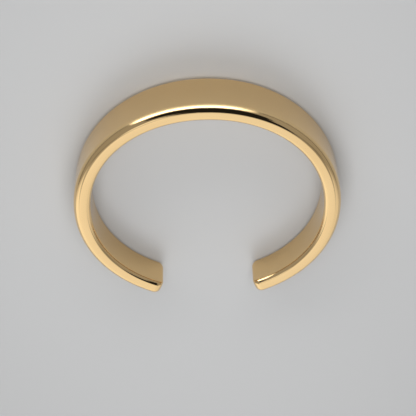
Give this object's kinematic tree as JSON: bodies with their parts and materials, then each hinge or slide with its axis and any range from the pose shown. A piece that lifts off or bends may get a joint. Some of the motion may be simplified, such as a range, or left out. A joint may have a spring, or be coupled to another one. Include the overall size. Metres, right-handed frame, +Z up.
{
  "type": "cuff bracelet",
  "caption": "Open oval cuff bracelet: one solid polished band that tapers from the back to two flat, rounded ends with a gap between them.",
  "frame": {"origin": "under the middle of the box, on the surface that the cuff lies on", "axes": "+Z up, along the wrist; +X along the oval's long way; +Y from the gap to the closed back"},
  "size_m": [0.066, 0.059, 0.014],
  "materials": {
    "polished_gold": "mirror-polished, gold plated, with faint wear"
  },
  "bodies": {
    "root": {"cuff_band": "polished_gold"}
  },
  "joints": []
}
